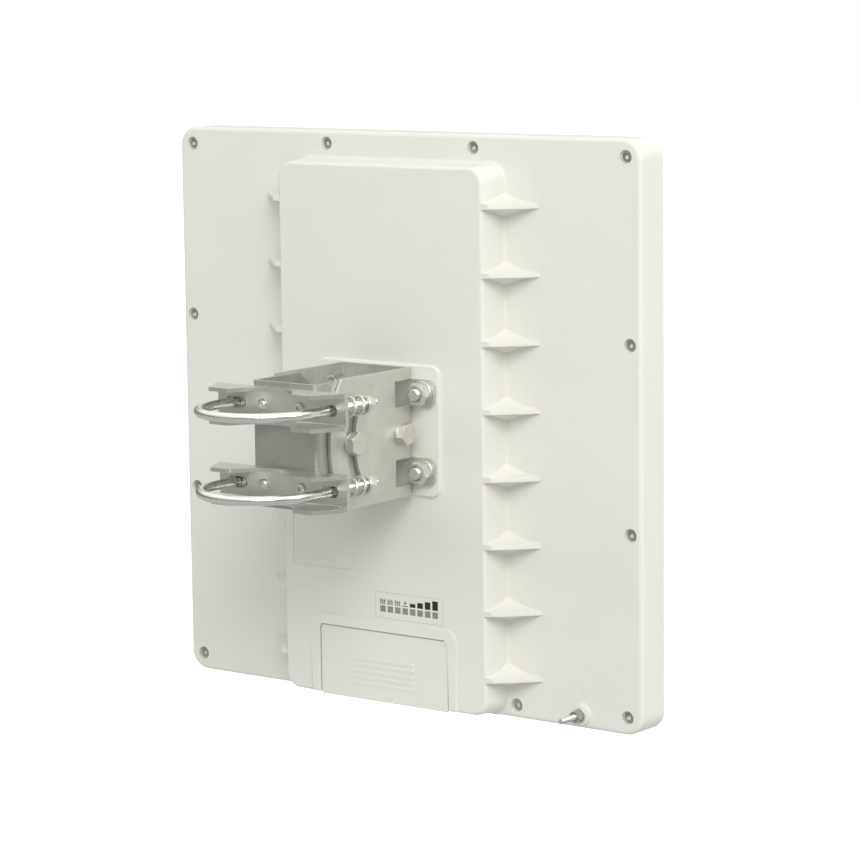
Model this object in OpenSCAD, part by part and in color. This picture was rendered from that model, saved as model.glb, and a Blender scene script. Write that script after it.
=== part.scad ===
// Outdoor wireless bridge: a flat panel antenna on a tilting bracket that clamps to a pole.
// The pole's axis is Z through the origin. The antenna looks along +Y and the clamps open to -Y.

/* [Panel] */
// Width and height of the square panel
panel_size = 371; // [340:1:400]
// Depth of the panel from its back face to the radome's face
panel_depth = 27.5; // [24:0.5:36]
// Radius of the panel's corners
panel_corner = 13; // [8:1:20]
// Distance from the pole's axis to the panel's back face
panel_back = 150; // [150:1:150]
// Height of the panel's centre above the tilt axis
panel_lift = 2; // [0:0.5:6]
// Thickness of the housing's walls
wall = 2.5; // [2:0.1:3]
// Depth of the radome's face plate
radome_t = 3.5; // [3:0.1:4]

/* [Hump] */
// Half the width of the electronics hump
hump_half = 82.5; // [78:0.5:88]
// How far the hump stands out from the panel's back
hump_depth = 22.6; // [22.6:0.1:22.6]
// Highest and lowest points of the hump
hump_top = 169; // [160:1:175]
hump_bottom = -181; // [-182:1:-176]
// Radius of the hump's corners
hump_corner = 12; // [6:1:16]
// Gussets on each flank
fin_count = 8; // [4:1:8]
// Height of the topmost gusset and the spacing between gussets
fin_top = 144.2; // [140:0.1:148]
fin_pitch = 42.87; // [38:0.01:43]
// Thickness of a gusset at its outer edge and at its root
fin_edge = 2.3; // [1.5:0.1:3]
fin_root = 16; // [8:0.5:20]

/* [Bracket] */
// Sheet thickness of both channels and of the saddles
sheet = 2.5; // [2.5:0.1:2.5]
// Half the outer width of the antenna side's channel
outer_half = 28.5; // [28.5:0.5:28.5]
// Half the height of the antenna side's channel, and of the pole side's
outer_rise = 41; // [40:0.5:44]
inner_rise = 39.5; // [38:0.5:40]
// Distance from the pole's axis to the tilt axis
pivot_y = 112.3; // [112.3:0.1:112.3]
// Radius of the arc slot about the tilt axis
slot_radius = 50.9; // [49:0.1:53]
// Half the angle that the arc slot spans
slot_half_angle = 26; // [15:1:26]
// Radius of the cheeks' rounded edge about the tilt axis
cheek_radius = 71; // [66:0.5:72]

/* [Clamp] */
// Radius of the pole that the saddles are cut for
pole_r = 25.4; // [25.4:0.1:25.4]
// Half the spacing between the two saddles
saddle_half_pitch = 25.1; // [24:0.1:27]
// Half the length and half the height of a saddle
saddle_half = 51; // [50:0.5:54]
saddle_rise = 11.5; // [10:0.5:12]
// Distance of the saddles' front corners from the pole's axis
saddle_front = 7.5; // [6:0.5:9]
// Rod radius of a U-bolt and radius of its bend's centre line
rod_r = 3; // [3:0.5:3]
bend_r = 38.3; // [38:0.1:39]
// Where the U-bolt's bend starts and where its legs end
bend_y = 9.6; // [9:0.1:10]
leg_end = 73; // [70:0.5:75]

/* [Hidden] */
$fn = 64;
eps = 0.01;

// Depths along Y, from the bracket to the radome
panel_front = panel_back + panel_depth;
seam_y = panel_front - radome_t;
floor_y = panel_back + wall;
hump_y = panel_back - hump_depth;
hump_in_y = hump_y + wall;
pad_y = hump_y - 2.5;
rim_y = hump_y - 1.5;
web_y = pad_y - sheet;

// Panel outline and its screws
half = panel_size / 2;
corner_inset = 11.15;
edge_inset = 8.45;
side_screw = 59;
bottom_screw = 89.5;
corner_at = half - corner_inset;
edge_at = half - edge_inset;
panel_screws = concat(
    [for (x = [-1, 1], z = [-1, 1]) [x * corner_at, z * corner_at]],
    [for (x = [-1, 1], z = [-1, 1]) [x * edge_at, z * side_screw]],
    [for (x = [-1, 1]) [x * side_screw, edge_at]],
    [for (x = [-1, 1]) [x * bottom_screw, -edge_at]]
);
screw_recess_r = 4.3;
screw_head_r = 3.5;
screw_seat_y = panel_back + 4.2;
screw_shank_r = 2;
boss_r = 6;
ledge_y = seam_y - 6;
ledge_w = 2.3;
gasket_t = 1.5;

// Bracket pad and the four studs that hold the bracket
pad_half = 49;
pad_low = -41.3;
pad_high = 42.3;
stud_x = 38.1;
stud_z = saddle_half_pitch;
stud_r = 4;
stud_tip = 112;
ear_half = 8.6;
ear_x = 47;

// Cable door, its raised rim and the pocket behind it
rim_half = 59.6;
rim_top = -126.6;
door_half = 51.7;
door_top = -133.4;
door_gap = 0.3;
door_seat_y = hump_y + 1.8;
pocket_half = 47.5;
pocket_top = -137;
pocket_wall = 7.5;
pocket_lid = 6;
bay_top = -122;
pocket_in_y = 146;
outlet_y = 137.6;
outlet_r = 7;

// Boards, plates and posts inside the hump and the panel
board_y = 145;
board_t = 1.6;
reflector_y = 156;
reflector_t = 1.5;
reflector_side = 336;
array_y = 161.5;
array_side = 334;
patch_pitch = 41;
patch_side = 24;
patch_t = 0.3;
post_r = 4;
post_hole_r = 1.6;
pilot_r = 1.3;
small_screw_r = 1.25;
small_head_r = 2.8;
small_head_t = 1.8;
feed_x = 10;
feed_r = 1.8;
shield_half = [44, 62];
shield_depth = 6;
shield_t = 0.8;
spreader_half = [30, 45];
pad_t = 0.5;
jack_lo = [-8, 131.5, -141];
jack_hi = [8, 145, -121.5];
socket_lo = [-5.9, 133, -142];
socket_hi = [5.9, 141.5, -129];
array_posts = [for (x = [-1, 1], z = [-1, 0, 1]) [x * 123, panel_lift + z * 123]];
board_posts = [[-52, -112], [52, -112], [-52, 90], [52, 90]];

// Status lights and their label, low on the hump's back face
light_count = 8;
light_x = 0.2;
light_pitch = 6.03;
light_z = -118.2;
light_size = 3.6;
label_x = [-6, 48.8];
label_z = [-124.5, -107.2];
label_t = 0.2;

// Shallow square label seat beside the bracket
seat_x = -50;
seat_z = -71.8;
seat_side = 48;

// Ground terminal
ground_x = 140.3;
ground_z = -174.4;
symbol_z = -158.6;
ground_boss_h = 3;
ground_nut_y = panel_back - 9.4;
ground_tip_y = panel_back - 23.8;
ground_pin_r = 2;
ground_shank_r = 2.2;

// Bracket channels
inner_half = outer_half - sheet - 0.3;
mast_web_y = 31.15;
bend_out = 3.5;
inner_nose_r = 9.3;
inner_shoulder_y = 75;
pin_r = 4;
run_gap = 0.05;
lock_y = pivot_y - slot_radius;

// Clamp hardware along the U-bolt's legs
washer_t = 1.6;
nut6_t = 5;
leg_nut_y = 62.6;
leg_washer_y = mast_web_y;
slot_x = [28.5, 44.5];
slot_half_h = 3.5;
saddle_screw_x = 15;

// Compression springs: wire radius, coil radius, turns, and how finely each turn is swept
spring_wire = 1;
spring_r = 5.3;
spring_turns = 3.5;
spring_steps = 24;
spring_sides = 8;

// Solids placed by their extent along one axis
module y_slab(y0, y1) translate([0, y1, 0]) rotate([90, 0, 0]) linear_extrude(y1 - y0) children();
module x_slab(x0, x1) translate([x0, 0, 0]) rotate([90, 0, 90]) linear_extrude(x1 - x0) children();
module z_slab(z0, z1) translate([0, 0, z0]) linear_extrude(z1 - z0) children();
module y_rod(x, z, y0, y1, r) translate([x, y1, z]) rotate([90, 0, 0]) cylinder(h = y1 - y0, r = r);
module x_rod(y, z, x0, x1, r) translate([x0, y, z]) rotate([0, 90, 0]) cylinder(h = x1 - x0, r = r);
module block(lo, hi) translate(lo) cube(hi - lo);

// A hexagon across flats of af, lying in the XY plane of an extrusion
module hex2d(af) circle(r = af / sqrt(3), $fn = 6);
module y_hex(x, z, y0, y1, af, turn = 0) translate([x, y1, z]) rotate([90, turn, 0])
    linear_extrude(y1 - y0) hex2d(af);
module x_hex(y, z, x0, x1, af) translate([x0, y, z]) rotate([0, 90, 0]) linear_extrude(x1 - x0) hex2d(af);

// A centred rectangle with round corners
module round_rect(w, h, r) {
    square([w - 2 * r, h], center = true);
    square([w, h - 2 * r], center = true);
    for (x = [-1, 1], y = [-1, 1]) translate([x * (w / 2 - r), y * (h / 2 - r)]) circle(r);
}

module panel_plate(inset, y0, y1) {
    side = panel_size - 2 * inset;
    y_slab(y0, y1) translate([0, panel_lift]) round_rect(side, side, max(panel_corner - inset, 1));
}

module panel_ring(outer, inner, y0, y1) {
    difference() {
        panel_plate(outer, y0, y1);
        panel_plate(inner, y0 - 1, y1 + 1);
    }
}

module hump_block(inset, y0, y1, corner) {
    w = 2 * (hump_half - inset);
    h = hump_top - hump_bottom - 2 * inset;
    y_slab(y0, y1) translate([0, (hump_top + hump_bottom) / 2]) round_rect(w, h, corner);
}

// One flank gusset: a plan triangle cut to a wedge that thickens from its sloping edge to its root
module gusset(z) {
    lip_x = hump_half + 3.8;
    tip_x = 110;
    slope = atan2(hump_depth, tip_x - lip_x);
    length = norm([tip_x - lip_x, hump_depth]);
    reach = (tip_x - hump_half) * sin(slope);
    deep = reach + 6;
    grow = (fin_root - fin_edge) / 2 / reach;
    intersection() {
        z_slab(z - fin_root, z + fin_root)
            polygon([[hump_half, hump_y], [lip_x, hump_y], [tip_x, panel_back], [hump_half, panel_back]]);
        translate([lip_x, hump_y, z]) rotate([0, 0, slope]) x_slab(-12, length + 12)
            polygon([[-1, grow - fin_edge / 2], [deep, -fin_edge / 2 - grow * deep],
                [deep, fin_edge / 2 + grow * deep], [-1, fin_edge / 2 - grow]]);
    }
}

module hump_outline(inset, y0, y1) hump_block(inset, y0, y1, hump_corner - inset);

// The tray behind the radome: floor, side walls, gasket ledge, screw bosses and array posts
module rear_housing() color("gainsboro") {
    difference() {
        union() {
            difference() {
                panel_plate(0, panel_back, seam_y);
                panel_plate(wall, floor_y, seam_y + 1);
            }
            panel_ring(wall - eps, wall + ledge_w, floor_y - eps, ledge_y);
            for (p = panel_screws) y_rod(p[0], panel_lift + p[1], floor_y - eps, ledge_y, boss_r);
            for (p = array_posts) y_rod(p[0], p[1], floor_y - eps, reflector_y, post_r);
            y_rod(ground_x, ground_z, panel_back - ground_boss_h, floor_y, 6.5);
        }
        hump_outline(wall, panel_back - 1, floor_y + 1);
        // screw recesses, clearance holes and pilot holes
        for (p = panel_screws) {
            y_rod(p[0], panel_lift + p[1], panel_back - 1, screw_seat_y, screw_recess_r);
            y_rod(p[0], panel_lift + p[1], panel_back, ledge_y + 1, screw_shank_r + 0.2);
        }
        for (p = array_posts) y_rod(p[0], p[1], floor_y, reflector_y + 1, pilot_r);
        y_rod(ground_x, ground_z, panel_back - 4, floor_y + 1, ground_shank_r);
        ground_symbol();
    }
}

// The electronics hump on the tray's back, with the bracket pad and the cable pocket
module hump_casting() {
    difference() {
        union() {
            difference() {
                hump_outline(0, hump_y, panel_back);
                hump_outline(wall, hump_in_y, panel_back + 1);
            }
            y_slab(pad_y, hump_in_y) translate([0, (pad_low + pad_high) / 2])
                round_rect(2 * pad_half, pad_high - pad_low, 6.5);
            for (p = board_posts) y_rod(p[0], p[1], hump_in_y - eps, board_y, post_r);
            block([-pocket_half - pocket_wall, hump_y, hump_bottom],
                [pocket_half + pocket_wall, pocket_in_y + wall, pocket_top + pocket_lid]);
            y_slab(rim_y, hump_y + 1) rim_outline();
        }
        // door seat, pocket and cable outlet
        block([-door_half, rim_y - 1, hump_bottom - 1], [door_half, door_seat_y, door_top]);
        block([-pocket_half, door_seat_y - 1, hump_bottom + wall], [pocket_half, pocket_in_y, pocket_top]);
        translate([0, outlet_y, hump_bottom - 1]) cylinder(h = wall + 2, r = outlet_r);
        block([jack_lo[0] - 0.2, jack_lo[1] - 0.2, pocket_top - 1],
            [jack_hi[0] + 0.2, board_y + board_t + 0.2, pocket_top + pocket_lid + 1]);
        for (p = board_posts) y_rod(p[0], p[1], hump_in_y + 1, board_y + 1, pilot_r);
        for (x = [-1, 1], z = [-1, 1]) y_rod(x * stud_x, z * stud_z, pad_y - 1, hump_in_y + 1, stud_r);
        for (i = [0:light_count - 1]) light_pipe(i, hump_y - 1, hump_in_y + 1, light_size + 0.2);
        // shallow square label seat
        y_slab(hump_y - 1, hump_y + 0.3) translate([seat_x, seat_z]) square(seat_side, center = true);
    }
}

module hump_part(z0, z1) color("gainsboro") intersection() {
    hump_casting();
    block([-hump_half - 1, rim_y - 1, z0], [hump_half + 1, panel_back + 1, z1]);
}

// The hump above the cable bay, and the bay itself with the door's seat and rim
module hump_cover() hump_part(bay_top, hump_top + 1);
module cable_bay() hump_part(hump_bottom - 1, bay_top);

module flank_gussets() color("gainsboro")
    for (i = [0:fin_count - 1], side = [0, 1]) mirror([side, 0, 0]) gusset(fin_top - i * fin_pitch);

// Raised rim round the cable door: an arch that is open at the bottom
module rim_outline() {
    r = 9;
    difference() {
        union() {
            translate([-rim_half, hump_bottom]) square([2 * rim_half, rim_top - hump_bottom - r]);
            translate([-rim_half + r, hump_bottom]) square([2 * (rim_half - r), rim_top - hump_bottom]);
            for (x = [-1, 1]) translate([x * (rim_half - r), rim_top - r]) circle(r);
        }
        translate([-door_half, hump_bottom - 1]) square([2 * door_half, door_top - hump_bottom + 1]);
    }
}

module ground_symbol() {
    y_slab(panel_back - 1, panel_back + 0.3) translate([ground_x, symbol_z]) {
        difference() {
            circle(5.6);
            circle(5.1);
        }
        translate([-0.3, -0.6]) square([0.6, 4]);
        for (i = [0:2]) translate([-3 + i, -0.9 - 1.2 * i]) square([6 - 2 * i, 0.5]);
    }
}

module radome() color("whitesmoke") {
    difference() {
        union() {
            panel_plate(0, seam_y, panel_front);
            panel_ring(wall + 0.15, wall + 1.5, ledge_y + gasket_t, seam_y + eps);
            for (p = panel_screws) y_rod(p[0], panel_lift + p[1], ledge_y + 0.05, seam_y + eps, 4);
        }
        for (p = panel_screws) y_rod(p[0], panel_lift + p[1], ledge_y - 1, seam_y + 0.6, 2.05);
    }
}

module housing_gasket() color("dimgray") panel_ring(wall + 0.1, wall + 1.5, ledge_y, ledge_y + gasket_t);

module housing_screws() color("silver") for (p = panel_screws) {
    difference() {
        y_rod(p[0], panel_lift + p[1], screw_seat_y - 2.8, screw_seat_y, screw_head_r);
        y_hex(p[0], panel_lift + p[1], screw_seat_y - 3, screw_seat_y - 1.2, 3);
    }
    y_rod(p[0], panel_lift + p[1], screw_seat_y, seam_y + 0.4, screw_shank_r);
}

module reflector_plate() color("lightgray") {
    difference() {
        y_slab(reflector_y, reflector_y + reflector_t) translate([0, panel_lift])
            round_rect(reflector_side, reflector_side, 6);
        for (p = array_posts) y_rod(p[0], p[1], reflector_y - 1, reflector_y + 2, post_hole_r);
        for (x = [-1, 1]) y_rod(feed_x * x, 0, reflector_y - 1, reflector_y + 2, feed_r + 2.2);
    }
}

module array_board() color("darkgreen") {
    difference() {
        y_slab(array_y, array_y + board_t) translate([0, panel_lift]) round_rect(array_side, array_side, 4);
        for (p = array_posts) y_rod(p[0], p[1], array_y - 1, array_y + board_t + 1, post_hole_r);
    }
}

module array_patches() color("peru") {
    y = array_y + board_t;
    for (i = [-3.5:3.5], k = [-3.5:3.5])
        y_slab(y, y + patch_t) translate([patch_pitch * i, panel_lift + patch_pitch * k])
            square(patch_side, center = true);
}

module array_spacers() color("white") {
    for (p = array_posts) difference() {
        y_rod(p[0], p[1], reflector_y + reflector_t, array_y, post_r);
        y_rod(p[0], p[1], reflector_y, array_y + 1, post_hole_r);
    }
}

// A small pan screw whose head sits on a board at depth y
module small_screw(p, y, length) {
    y_rod(p[0], p[1], y, y + small_head_t, small_head_r);
    y_rod(p[0], p[1], y - length, y, small_screw_r);
}

module array_screws() color("silver") for (p = array_posts) small_screw(p, array_y + board_t, 10);

module feed_pins() color("gold") {
    for (x = [-1, 1]) y_rod(feed_x * x, 0, board_y + board_t, array_y, feed_r);
}

module radio_board() color("darkgreen") {
    difference() {
        block([-62, board_y, -130.5], [62, board_y + board_t, 100]);
        for (p = board_posts) y_rod(p[0], p[1], board_y - 1, board_y + board_t + 1, post_hole_r);
    }
}

module board_screws() color("silver") for (p = board_posts) small_screw(p, board_y + board_t, 9.6);

module rf_shield() color("silver") {
    x = shield_half[0];
    z = shield_half[1];
    difference() {
        block([-x, board_y - shield_depth, -z], [x, board_y, z]);
        block([shield_t - x, board_y - shield_depth + shield_t, shield_t - z],
            [x - shield_t, board_y + 1, z - shield_t]);
    }
}

module spreader_block(y0, y1) block([-spreader_half[0], y0, -spreader_half[1]],
    [spreader_half[0], y1, spreader_half[1]]);

module heat_spreader() color("lightgray") spreader_block(hump_in_y + pad_t, board_y - shield_depth);

module thermal_pad() color("lightsteelblue") spreader_block(hump_in_y, hump_in_y + pad_t);

module ethernet_jack() color("silver") {
    difference() {
        block(jack_lo, jack_hi);
        block(socket_lo, socket_hi);
    }
}

module cable_grommet() color("dimgray") {
    translate([0, outlet_y, hump_bottom]) difference() {
        union() {
            cylinder(h = wall, r = outlet_r - 0.05);
            translate([0, 0, wall]) cylinder(h = 1.6, r = outlet_r + 1);
        }
        translate([0, 0, -1]) cylinder(h = 6, r = 3.5);
    }
}

module light_pipe(i, y0, y1, size) {
    translate([light_x + i * light_pitch, 0, light_z])
        block([-size / 2, y0, -size / 2], [size / 2, y1, size / 2]);
}

module light_pipes() color("silver") {
    for (i = [0:light_count - 1]) light_pipe(i, hump_y - 0.1, board_y - 1.2, light_size);
}

module status_leds() color("palegreen") {
    for (i = [0:light_count - 1]) light_pipe(i, board_y - 1.2, board_y, 2);
}

module led_label() color("white") {
    difference() {
        block([label_x[0], hump_y - label_t, label_z[0]], [label_x[1], hump_y, label_z[1]]);
        for (i = [0:light_count - 1]) light_pipe(i, hump_y - 1, hump_y + 1, light_size + 0.1);
    }
}

module ground_stud() color("silver") {
    y_rod(ground_x, ground_z, ground_nut_y, floor_y, ground_shank_r);
    y_rod(ground_x, ground_z, ground_tip_y + 0.6, ground_nut_y, ground_pin_r);
    y_rod(ground_x, ground_z, ground_tip_y, ground_tip_y + 0.6, ground_pin_r - 0.3);
}

module ground_washer() color("silver") {
    difference() {
        y_rod(ground_x, ground_z, panel_back - 4, panel_back - 3, 4.5);
        y_rod(ground_x, ground_z, panel_back - 5, panel_back - 2, ground_shank_r + 0.1);
    }
}

module ground_nut() color("silver") {
    difference() {
        y_hex(ground_x, ground_z, ground_nut_y, panel_back - 4, 7);
        y_rod(ground_x, ground_z, panel_back - 10, panel_back - 3, ground_shank_r);
    }
}

module at_studs() for (x = [-1, 1], z = [-1, 1]) translate([x * stud_x, 0, z * stud_z]) children();

module mounting_studs() color("silver") at_studs() {
    y_rod(0, 0, stud_tip + 0.8, hump_in_y, stud_r);
    translate([0, stud_tip + 0.8, 0]) rotate([90, 0, 0]) cylinder(h = 0.8, r1 = stud_r, r2 = stud_r - 0.8);
    y_rod(0, 0, hump_in_y, hump_in_y + 3, 6.4);
}

module stud_washers() color("silver") at_studs() difference() {
    y_rod(0, 0, web_y - washer_t, web_y, 8);
    y_rod(0, 0, web_y - 3, web_y + 1, stud_r + 0.2);
}

module stud_nuts() color("silver") at_studs() difference() {
    y_hex(0, 0, web_y - washer_t - 6.5, web_y - washer_t, 13, 15);
    y_rod(0, 0, web_y - 10, web_y, stud_r);
}

// A channel's plan section: web at the high-Y side, open towards low Y, with rounded bends
module channel_plan(half_w, low, high, r) {
    square_w = 2 * half_w;
    translate([-half_w, low]) square([square_w, high - low - r]);
    translate([-half_w + r, low]) square([square_w - 2 * r, high - low]);
    for (x = [-1, 1]) translate([x * (half_w - r), high - r]) circle(r);
}

module sector_2d(r, half_angle) {
    far = 2 * r;
    polygon([[0, 0], [-far * cos(half_angle), -far * sin(half_angle)], [-far, 0],
        [-far * cos(half_angle), far * sin(half_angle)]]);
}

// The arc slot's cutter, through both cheeks
module arc_slot(r_half) {
    intersection() {
        difference() {
            x_rod(pivot_y, 0, -outer_half - 1, outer_half + 1, slot_radius + r_half);
            x_rod(pivot_y, 0, -outer_half - 2, outer_half + 2, slot_radius - r_half);
        }
        x_slab(-outer_half - 1, outer_half + 1) translate([pivot_y, 0])
            sector_2d(slot_radius + r_half, slot_half_angle);
    }
    for (s = [-1, 1]) x_rod(pivot_y - slot_radius * cos(slot_half_angle),
        s * slot_radius * sin(slot_half_angle), -outer_half - 1, outer_half + 1, r_half);
}

module antenna_bracket() color("darkgray") {
    difference() {
        union() {
            intersection() {
                difference() {
                    z_slab(-outer_rise, outer_rise)
                        channel_plan(outer_half, pivot_y - cheek_radius - 1, pad_y, bend_out);
                    z_slab(-outer_rise - 1, outer_rise + 1) channel_plan(outer_half - sheet,
                        pivot_y - cheek_radius - 2, web_y, bend_out - sheet);
                }
                x_rod(pivot_y, 0, -outer_half, outer_half, cheek_radius);
            }
            for (x = [-1, 1], z = [-1, 1]) y_slab(web_y, pad_y)
                translate([x * (ear_x + 20) / 2, z * stud_z]) round_rect(ear_x - 20, 2 * ear_half, 5);
        }
        for (z = [-1, 1])
            block([-outer_half - 1, pad_y - (ear_x - outer_half), z * stud_z - ear_half],
                [outer_half + 1, web_y, z * stud_z + ear_half]);
        x_rod(pivot_y, 0, -outer_half - 1, outer_half + 1, pin_r + run_gap);
        arc_slot(pin_r + 0.4);
        for (x = [-1, 1], z = [-1, 1]) y_rod(x * stud_x, z * stud_z, web_y - 1, pad_y + 1, stud_r + 0.3);
    }
}

module cable_door() color("gainsboro") {
    groove_z = [for (i = [0:4]) -153.3 - 4.1 * i];
    difference() {
        block([-door_half + door_gap, door_seat_y - 0.3 - 2.2, hump_bottom + 0.5],
            [door_half - door_gap, door_seat_y - 0.3, door_top - door_gap]);
        for (z = groove_z) block([-24.5, door_seat_y - 3.5, z - 0.6], [24.5, door_seat_y - 1.9, z + 0.6]);
    }
}

// The pole side's cheeks: full height near the web, then tapering tangentially to a round nose
module inner_cheek_side() {
    d = [inner_shoulder_y - pivot_y, inner_rise];
    tangent = atan2(d[1], d[0]) - acos(inner_nose_r / norm(d));
    nose = [pivot_y + inner_nose_r * cos(tangent), inner_nose_r * sin(tangent)];
    polygon([[mast_web_y, -inner_rise], [inner_shoulder_y, -inner_rise], [nose[0], -nose[1]],
        nose, [inner_shoulder_y, inner_rise], [mast_web_y, inner_rise]]);
    translate([pivot_y, 0]) circle(inner_nose_r);
}

module mast_bracket() color("gray") {
    far = pivot_y + inner_nose_r + 1;
    difference() {
        intersection() {
            difference() {
                z_slab(-inner_rise, inner_rise) mirror([0, 1])
                    channel_plan(inner_half, -far, -mast_web_y, bend_out);
                z_slab(-inner_rise - 1, inner_rise + 1) mirror([0, 1])
                    channel_plan(inner_half - sheet, -far - 1, -mast_web_y - sheet, bend_out - sheet);
            }
            x_slab(-inner_half - 1, inner_half + 1) inner_cheek_side();
        }
        x_rod(pivot_y, 0, -inner_half - 1, inner_half + 1, pin_r + run_gap);
        x_rod(lock_y, 0, -inner_half - 1, inner_half + 1, pin_r + run_gap);
        for (x = [-1, 1], z = [-1, 1]) y_rod(x * saddle_screw_x, z * saddle_half_pitch, mast_web_y - 1,
            mast_web_y + sheet + 1, 2.2);
    }
}

// A saddle: a folded channel whose flanges are cut to the pole's radius
module saddle(z) {
    front = mast_web_y - sheet;
    difference() {
        intersection() {
            translate([0, 0, z]) difference() {
                x_slab(-saddle_half, saddle_half) rotate(-90)
                    channel_plan(saddle_rise, saddle_front - 1, mast_web_y, bend_out);
                x_slab(-saddle_half - 1, saddle_half + 1) rotate(-90)
                    channel_plan(saddle_rise - sheet, saddle_front - 2, front, bend_out - sheet);
            }
            z_slab(z - saddle_rise - 1, z + saddle_rise + 1) polygon([[-saddle_half, mast_web_y],
                [saddle_half, mast_web_y], [saddle_half, front - 1.5], [40.5, saddle_front],
                [-40.5, saddle_front], [-saddle_half, front - 1.5]]);
        }
        translate([0, 0, z - saddle_rise - 1]) cylinder(h = 2 * saddle_rise + 2, r = pole_r);
        for (side = [0, 1]) mirror([side, 0, 0]) {
            block([slot_x[0] + slot_half_h, front - 1, z - slot_half_h],
                [slot_x[1] - slot_half_h, mast_web_y + 1, z + slot_half_h]);
            for (i = [0, 1]) y_rod(slot_x[i] + (1 - 2 * i) * slot_half_h, z, front - 1, mast_web_y + 1,
                slot_half_h);
        }
        for (x = [-1, 1]) y_rod(x * saddle_screw_x, z, front - 1, mast_web_y + 1, 2.2);
    }
}

module upper_saddle() color("silver") saddle(saddle_half_pitch);
module lower_saddle() color("silver") saddle(-saddle_half_pitch);

module at_saddle_screws() for (x = [-1, 1], z = [-1, 1])
    translate([x * saddle_screw_x, 0, z * saddle_half_pitch]) children();

module saddle_screws() color("silver") at_saddle_screws() {
    front = mast_web_y - sheet;
    difference() {
        y_rod(0, 0, front - 2.2, front, 3.6);
        y_hex(0, 0, front - 2.3, front - 1, 2.5);
    }
    y_rod(0, 0, front, mast_web_y + sheet + 4.2, 2);
}

module saddle_nuts() color("silver") at_saddle_screws() difference() {
    y_hex(0, 0, mast_web_y + sheet, mast_web_y + sheet + 3.2, 7);
    y_rod(0, 0, mast_web_y + sheet - 1, mast_web_y + sheet + 4, 2);
}

// A through bolt across both channels at depth y: head on +X, nut on -X
module cross_bolt(y) {
    seat = outer_half + run_gap + washer_t;
    x_hex(y, 0, seat, seat + 5.3, 13);
    x_rod(y, 0, -seat - 8.2, seat, pin_r);
}

module cross_washers(y) for (side = [0, 1]) mirror([side, 0, 0]) difference() {
    x_rod(y, 0, outer_half + run_gap, outer_half + run_gap + washer_t, 7.6);
    x_rod(y, 0, outer_half - 1, outer_half + 3, pin_r + 0.2);
}

module cross_nut(y) {
    seat = outer_half + run_gap + washer_t;
    difference() {
        x_hex(y, 0, -seat - 6.5, -seat, 13);
        x_rod(y, 0, -seat - 7, -seat + 1, pin_r);
    }
}

module pivot_bolt() color("silver") cross_bolt(pivot_y);
module pivot_washers() color("silver") cross_washers(pivot_y);
module pivot_nut() color("silver") cross_nut(pivot_y);
module lock_bolt() color("silver") cross_bolt(lock_y);
module lock_washers() color("silver") cross_washers(lock_y);
module lock_nut() color("silver") cross_nut(lock_y);

module leg_washers() color("silver") for (x = [-1, 1], z = [-1, 1])
    translate([x * bend_r, 0, z * saddle_half_pitch]) difference() {
        y_rod(0, 0, leg_washer_y, leg_washer_y + washer_t, 7);
        y_rod(0, 0, leg_washer_y - 1, leg_washer_y + 3, rod_r + 0.3);
    }

// A compression spring round a leg, swept as one closed tube between the washer and the leg's nut
function spring_point(i, k, length) =
    let (n = spring_turns * spring_steps)
    let (a = 360 * i / spring_steps)
    let (b = 360 * k / spring_sides)
    let (r = spring_r + spring_wire * cos(b))
    let (y = spring_wire * 1.05 + (length - 2.1 * spring_wire) * i / n + spring_wire * sin(b))
    [r * cos(a), y, r * sin(a)];

module spring(length) {
    n = spring_turns * spring_steps;
    m = spring_sides;
    points = [for (i = [0:n], k = [0:m - 1]) spring_point(i, k, length)];
    sides = [for (i = [0:n - 1], k = [0:m - 1])
        [i * m + k, i * m + (k + 1) % m, (i + 1) * m + (k + 1) % m, (i + 1) * m + k]];
    polyhedron(points, concat([[for (k = [m - 1:-1:0]) k]], sides, [[for (k = [0:m - 1]) n * m + k]]));
}

module springs(z) color("silver") for (side = [0, 1]) mirror([side, 0, 0])
    translate([bend_r, leg_washer_y + washer_t, z]) spring(leg_nut_y - leg_washer_y - washer_t);

module upper_springs() springs(saddle_half_pitch);
module lower_springs() springs(-saddle_half_pitch);

module u_bolt(z) color("lightgray") translate([0, 0, z]) {
    translate([0, bend_y, 0]) rotate([0, 0, 180]) rotate_extrude(angle = 180) translate([bend_r, 0])
        circle(rod_r);
    for (x = [-1, 1]) {
        y_rod(x * bend_r, 0, bend_y, leg_end - 0.8, rod_r);
        translate([x * bend_r, leg_end - 0.8, 0]) rotate([-90, 0, 0])
            cylinder(h = 0.8, r1 = rod_r, r2 = rod_r - 0.8);
    }
}

module upper_u_bolt() u_bolt(saddle_half_pitch);
module lower_u_bolt() u_bolt(-saddle_half_pitch);

module leg_nuts(z) color("silver") for (x = [-1, 1]) difference() {
    y_hex(x * bend_r, z, leg_nut_y, leg_nut_y + nut6_t, 10, 30);
    y_rod(x * bend_r, z, leg_nut_y - 1, leg_nut_y + nut6_t + 1, rod_r);
}

module upper_leg_nuts() leg_nuts(saddle_half_pitch);
module lower_leg_nuts() leg_nuts(-saddle_half_pitch);

rear_housing();
hump_cover();
cable_bay();
flank_gussets();
radome();
housing_gasket();
housing_screws();
reflector_plate();
array_board();
array_patches();
array_spacers();
array_screws();
feed_pins();
radio_board();
board_screws();
rf_shield();
heat_spreader();
thermal_pad();
ethernet_jack();
cable_grommet();
status_leds();
light_pipes();
led_label();
ground_stud();
ground_washer();
ground_nut();
mounting_studs();
stud_washers();
stud_nuts();
antenna_bracket();
cable_door();
mast_bracket();
upper_saddle();
lower_saddle();
saddle_screws();
saddle_nuts();
pivot_bolt();
pivot_washers();
pivot_nut();
lock_bolt();
lock_washers();
lock_nut();
leg_washers();
upper_springs();
lower_springs();
upper_u_bolt();
lower_u_bolt();
upper_leg_nuts();
lower_leg_nuts();
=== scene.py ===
import math

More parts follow.
